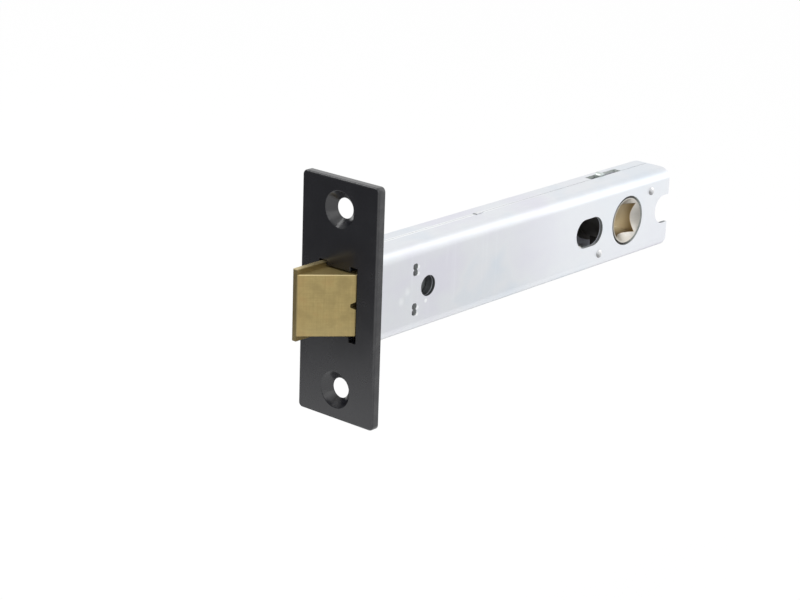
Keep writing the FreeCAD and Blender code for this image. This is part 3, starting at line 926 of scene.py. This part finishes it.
@dataclass
class Assembly:
    """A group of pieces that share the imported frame."""

    frame: Mapping[str, Any]

    def dress_node(self, node: str, finish: bpy.types.Material, edge: SoftEdge | None = None) -> None:
        """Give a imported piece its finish.

        Args:
            node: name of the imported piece.
            finish: its material.
            edge: the round on its edges, where they are seen to be soft.
        """
        piece = self.frame["nodes"][node]
        piece.data.materials.clear()
        piece.data.materials.append(finish)
        if edge is not None:
            edge.lay(piece)
        LOG.info("%s: %s", node, finish.name)

    def add_piece(
        self, name: str, mesh: bpy.types.Mesh, finish: bpy.types.Material, slot: Slot, node: str
    ) -> bpy.types.Object:
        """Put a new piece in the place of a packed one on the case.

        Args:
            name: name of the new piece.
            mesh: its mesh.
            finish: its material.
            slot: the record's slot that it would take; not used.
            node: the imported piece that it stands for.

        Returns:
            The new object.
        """
        piece = new_object(name, mesh)
        mesh.materials.append(finish)
        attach(piece, CASE_BODY)
        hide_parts(node)
        LOG.info("%s: %s, %d faces, for %s", name, finish.name, len(mesh.polygons), node)
        return piece


@dataclass
class CaseGroup(Assembly):
    """Front plate, folded case, guide block, and the two rivets across the case."""

    plate_edge: SoftEdge = SoftEdge(0.15 * MM)
    sheet_edge: SoftEdge = SoftEdge(0.2 * MM)
    guide_edge: SoftEdge = SoftEdge(0.1 * MM)
    casting: Finish = StakedCasting(
        "guide_casting",
        bright=(0.44, 0.45, 0.46),
        dull=(0.26, 0.265, 0.27),
        gloss=0.38,
        lumps=1500.0,
        grain_depth=4.0 * MICRON,
    )
    rivet_steel: Finish = SetRivet(
        "rivet_steel",
        bright=(0.72, 0.73, 0.75),
        dull=(0.55, 0.56, 0.57),
        gloss=0.22,
        lumps=1900.0,
        grain_depth=2.0 * MICRON,
    )
    rivet_sides: int = 32
    crown_steps: int = 6
    rivet_pin: float = 0.8 * MM
    wall: float = 7.0 * MM

    def build(self) -> None:
        """Dress the plate, the sheet and the guide, and set the rivets."""
        self.dress_node("front_plate", PowderCoat("satin_black_coat").make(), self.plate_edge)
        self.dress_node("case", ZincSheet("bright_zinc_sheet").make(), self.sheet_edge)
        self.dress_node("bolt_guide", self.casting.make(), self.guide_edge)
        steel = self.rivet_steel.make()
        for node in ("case_rivet_front", "case_rivet_rear"):
            low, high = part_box(node)
            name = node + "_set"
            mesh = self.rivet_mesh(name, (high.x - low.x) / 2.0, high.y)
            rivet = self.add_piece(name, mesh, steel, Slot.RIVET_STEEL, node)
            rivet.location = (low + high) / 2.0

    def rivet_mesh(self, name: str, radius: float, crown: float) -> bpy.types.Mesh:
        """Turn a rivet with a low dome on each wall, about its own middle.

        Args:
            name: name of the mesh.
            radius: the dome's radius.
            crown: height of the dome's top above the case's middle.

        Returns:
            The rivet's mesh.
        """
        half: list[Span] = []
        for step in range(1, self.crown_steps + 1):
            angle = math.radians(90.0 * step / self.crown_steps)
            half.append((radius * math.sin(angle), self.wall + (crown - self.wall) * math.cos(angle)))
        half.append((self.rivet_pin, self.wall))
        profile = half + [(reach, -away) for reach, away in reversed(half)]
        turns = [2.0 * math.pi * side / self.rivet_sides for side in range(self.rivet_sides)]
        rings = [
            [(reach * math.cos(turn), away, reach * math.sin(turn)) for turn in turns]
            for reach, away in profile
        ]
        return lofted_mesh(name, rings)


@dataclass
class BoltGroup(Assembly):
    """Bolt, the fork that draws it, the pin between them, and the follower that turns."""

    bolt_edge: SoftEdge = SoftEdge(0.15 * MM)
    follower_edge: SoftEdge = SoftEdge(0.1 * MM)
    fork_steel: Finish = PlainSteel(
        "fork_steel",
        bright=(0.80, 0.80, 0.74),
        dull=(0.62, 0.62, 0.58),
        gloss=0.34,
        lumps=900.0,
        grain_depth=4.0 * MICRON,
    )
    pin_steel: Finish = PlainSteel(
        "pin_steel",
        bright=(0.50, 0.53, 0.54),
        dull=(0.32, 0.34, 0.35),
        gloss=0.4,
        lumps=1800.0,
        grain_depth=3.0 * MICRON,
    )

    def build(self) -> None:
        """Dress the moving pieces."""
        self.dress_node("latch_bolt", SatinBrass("satin_brass").make(), self.bolt_edge)
        self.dress_node("draw_fork", self.fork_steel.make())
        dark = self.pin_steel.make()
        for node in ("bolt_tail", "tail_rivet"):
            self.dress_node(node, dark)
        self.dress_node("follower", FollowerBronze("follower_bronze").make(), self.follower_edge)


@dataclass
class SpringGroup(Assembly):
    """Coil spring with closed ends, between its washer and its seat."""

    washer_steel: Finish = PlainSteel(
        "plate_steel",
        bright=(0.42, 0.43, 0.44),
        dull=(0.27, 0.275, 0.28),
        gloss=0.3,
        lumps=1100.0,
        grain_depth=3.0 * MICRON,
    )
    seat_steel: Finish = PlainSteel(
        "seat_steel",
        bright=(0.84, 0.85, 0.87),
        dull=(0.68, 0.69, 0.71),
        gloss=0.3,
        lumps=1100.0,
        grain_depth=3.0 * MICRON,
    )
    wire_steel: Finish = PlainSteel(
        "spring_wire",
        bright=(0.42, 0.43, 0.45),
        dull=(0.2, 0.205, 0.21),
        gloss=0.26,
        lumps=1700.0,
        grain_depth=2.0 * MICRON,
    )
    washer_back: float = 31.0 * MM
    seat: float = 51.8 * MM
    end_gap: float = 0.1 * MM
    wire: float = 1.2 * MM
    radius: float = 4.6 * MM
    open_turns: float = 6.0
    closed_turns: float = 1.0
    steps_in_turn: int = 40
    wire_sides: int = 14
    throw: float = 9.7 * MM

    @property
    def turns(self) -> float:
        """All turns of the spring, with the closed ones at both ends."""
        return self.open_turns + 2.0 * self.closed_turns

    def build(self) -> None:
        """Wind the spring and dress the two plates that it bears on."""
        self.dress_node("spring_washer", self.washer_steel.make())
        self.dress_node("spring_seat", self.seat_steel.make())
        spring = self.add_piece(
            "wound_spring", self.coil_mesh(), self.wire_steel.make(), Slot.SPRING_WIRE, "bolt_spring"
        )
        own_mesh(spring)

    def coil_mesh(self) -> bpy.types.Mesh:
        """Wind round wire into a coil whose end turns lie against each other.

        Returns:
            The spring's mesh.
        """
        count = round(self.turns * self.steps_in_turn)
        path = [self.coil_point(self.turns * step / count) for step in range(count + 1)]
        rings = []
        for step, point in enumerate(path):
            ahead = path[min(step + 1, count)] - path[max(step - 1, 0)]
            outward = Vector((0.0, point.y, point.z)).normalized()
            across = ahead.normalized().cross(outward)
            ring = []
            for side in range(self.wire_sides):
                angle = 2.0 * math.pi * side / self.wire_sides
                offset = outward * math.cos(angle) + across * math.sin(angle)
                ring.append(tuple(point + offset * self.wire / 2.0))
            rings.append(ring)
        return lofted_mesh("wound_spring", rings)

    def coil_point(self, turn: float) -> Vector:
        """Middle of the wire after a number of turns.

        Args:
            turn: turns wound from the washer's end.

        Returns:
            The point.
        """
        start = self.washer_back + self.end_gap + self.wire / 2.0
        length = self.seat - self.end_gap - self.wire / 2.0 - start
        rise = self.closed_turns * self.wire
        before = min(turn, self.closed_turns) * self.wire
        after = max(turn - (self.turns - self.closed_turns), 0.0) * self.wire
        middle = min(max(turn - self.closed_turns, 0.0), self.open_turns) / self.open_turns
        along = start + before + middle * (length - 2.0 * rise) + after
        angle = 2.0 * math.pi * turn
        return Vector((along, self.radius * math.cos(angle), self.radius * math.sin(angle)))


@dataclass(frozen=True)
class Softbox:
    """Soft lamp that faces a point of the latch.

    Attributes:
        name: name of the lamp.
        heading: direction from the point that it faces to the lamp.
        distance: how far away it hangs.
        size: its width and height.
        level: brightness of its face, where 1 is white.
        aim: the point that it faces.
    """

    name: str
    heading: Point
    distance: float
    size: Span
    level: float
    aim: Point = (0.0, 0.0, 0.0)

    def hang(self) -> None:
        """Hang the lamp."""
        light = bpy.data.lights.new(self.name, "AREA")
        light.shape = "RECTANGLE"
        light.size, light.size_y = self.size
        light.energy = self.level * math.pi * light.size * light.size_y
        heading = Vector(self.heading).normalized()
        lamp = new_object(self.name, light)
        lamp.location = Vector(self.aim) + heading * self.distance
        lamp.rotation_euler = heading.to_track_quat("Z", "Y").to_euler()


@dataclass(frozen=True)
class LyingCard:
    """A card that lies on the floor.

    Attributes:
        name: name of the card.
        along: its two ends along the case.
        across: its edges, towards the camera and away from it.
        grey: how bright it looks, where 1 is white.
    """

    name: str
    along: Span
    across: Span
    grey: float


@dataclass
class Studio:
    """White floor and world, soft lamps, and three cards that only show in reflections."""

    floor_height: float = -75.0 * MM
    floor_radius: float = 4.0
    floor_sides: int = 96
    floor_colour: Colour = (0.95, 0.95, 0.95)
    background_share: float = 0.9
    world_light: float = 0.95
    card_distance: float = 0.165
    card_width: float = 0.4
    card_height: float = 0.3
    card_grey: float = 0.16
    card_heading: float = math.radians(139.4)
    sheet_lift: float = 1.0 * MM
    front_sheet: LyingCard = LyingCard("front_sheet", (-0.02, 0.235), (-0.36, -0.095), 0.78)
    back_sheet: LyingCard = LyingCard("back_sheet", (-0.02, 0.32), (0.03, 0.36), 0.12)
    softboxes: tuple[Softbox, ...] = (
        Softbox("bend_softbox", (0.721, -0.315, 0.617), 0.25, (0.1, 0.4), 0.5),
        Softbox("sink_softbox", (-0.315, 0.617, 0.721), 0.6, (0.3, 0.3), 3.5),
        Softbox("front_softbox", (-0.55, -0.7, 0.65), 0.9, (0.7, 0.7), 0.6, (60.0 * MM, 0.0, 0.0)),
    )

    def build(self) -> None:
        """Set up the studio."""
        front = self.lying_card(self.front_sheet)
        back = self.lying_card(self.back_sheet)
        self.floor()
        self.standing_card()
        self.world()
        for softbox in self.softboxes:
            softbox.hang()
        bpy.context.scene.view_settings.view_transform = "Standard"
        LOG.info("studio: floor, three cards, %d softboxes and a white world", len(self.softboxes))

    def floor(self) -> bpy.types.Object:
        """Make the floor, white to the background rays and pale to the light.

        Returns:
            The floor.
        """
        turns = [2.0 * math.pi * side / self.floor_sides for side in range(self.floor_sides)]
        mesh = bpy.data.meshes.new("floor")
        rim = [
            (self.floor_radius * math.cos(turn), self.floor_radius * math.sin(turn), self.floor_height)
            for turn in turns
        ]
        mesh.from_pydata(rim, [], [tuple(range(self.floor_sides))])
        material, bench = new_material("pale_floor")
        matt = bench.node("ShaderNodeBsdfDiffuse", sockets={"Color": (*self.floor_colour, 1.0)})
        white = bench.node("ShaderNodeEmission", sockets={"Strength": 1.0})
        share = self.background_share * bench.background_rays()
        bench.close(bench.node("ShaderNodeMixShader", sockets={0: share, 1: matt, 2: white}))
        mesh.materials.append(material)
        return new_object("floor", mesh)

    def standing_card(self) -> bpy.types.Object:
        """Stand a dark card where the plate's face is mirrored.

        Returns:
            The card.
        """
        ahead = Vector((math.cos(self.card_heading), math.sin(self.card_heading), 0.0))
        side = Vector((-ahead.y, ahead.x, 0.0)) * self.card_width / 2.0
        foot = ahead * self.card_distance + Vector((0.0, 0.0, self.floor_height))
        top = foot + Vector((0.0, 0.0, self.card_height))
        return self.card("dark_card", (foot - side, foot + side, top + side, top - side), self.card_grey)

    def lying_card(self, sheet: LyingCard) -> bpy.types.Object:
        """Lay a card where the case's side or its lower bend is mirrored.

        Args:
            sheet: the card's place and grey.

        Returns:
            The card.
        """
        level = self.floor_height + self.sheet_lift
        (start, end), (near, far) = sheet.along, sheet.across
        ends = ((start, near), (end, near), (end, far), (start, far))
        return self.card(sheet.name, [Vector((along, across, level)) for along, across in ends], sheet.grey)

    @staticmethod
    def card(name: str, corners: Sequence[Vector], grey: float) -> bpy.types.Object:
        """Make a card that reflections alone see.

        Args:
            name: name of the card.
            corners: its four corners in order.
            grey: how bright it looks, where 1 is white.

        Returns:
            The card.
        """
        mesh = bpy.data.meshes.new(name)
        mesh.from_pydata(list(corners), [], [(0, 1, 2, 3)])
        material, bench = new_material(name)
        bench.close(bench.node("ShaderNodeEmission", sockets={"Strength": grey}))
        mesh.materials.append(material)
        card = new_object(name, mesh)
        card.visible_camera = False
        card.visible_diffuse = False
        card.visible_shadow = False
        return card

    def world(self) -> None:
        """Make a world that lights softly and shows white behind the object."""
        world = bpy.data.worlds.new("white_studio")
        world.use_nodes = True
        bench = Bench(world.node_tree)
        light, white = (
            bench.node("ShaderNodeBackground", sockets={"Color": (*WHITE, 1.0), "Strength": strength})
            for strength in (self.world_light, 1.0)
        )
        share = bench.background_rays()
        bench.close(bench.node("ShaderNodeMixShader", sockets={0: share, 1: light, 2: white}))
        bpy.context.scene.world = world


@dataclass(frozen=True)
class CameraStand:
    """Camera at the photograph's viewing angle, fitted to the latch's edges and holes."""

    aim: Point = (14.68 * MM, -7.0 * MM, -1.38 * MM)
    distance: float = 529.76 * MM
    azimuth: float = math.radians(-49.4316)
    elevation: float = math.radians(18.3549)
    roll: float = math.radians(1.9841)
    lens: float = 99.265
    film_width: float = 36.0

    def build(self) -> None:
        """Set up the camera."""
        sin_a, cos_a = math.sin(self.azimuth), math.cos(self.azimuth)
        sin_e, cos_e = math.sin(self.elevation), math.cos(self.elevation)
        back = Vector((sin_a * cos_e, -cos_a * cos_e, sin_e))
        level = Vector((cos_a, sin_a, 0.0))
        upright = back.cross(level)
        right = level * math.cos(self.roll) + upright * math.sin(self.roll)
        up = upright * math.cos(self.roll) - level * math.sin(self.roll)
        lens = bpy.data.cameras.new("camera")
        lens.sensor_fit = "HORIZONTAL"
        lens.sensor_width = self.film_width
        lens.lens = self.lens
        camera = new_object("camera", lens)
        turn = Matrix((right, up, back)).transposed().to_4x4()
        camera.matrix_world = Matrix.Translation(Vector(self.aim) + back * self.distance) @ turn
        bpy.context.scene.camera = camera
        LOG.info("camera: %.0f mm lens", self.lens)


def main() -> None:
    """Build the pieces, the studio and the camera in order."""
    logging.basicConfig(level=logging.INFO, format="%(message)s")
    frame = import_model()
    CaseGroup(frame).build()
    BoltGroup(frame).build()
    SpringGroup(frame).build()
    Studio().build()
    CameraStand().build()


if __name__ == "__main__":
    main()
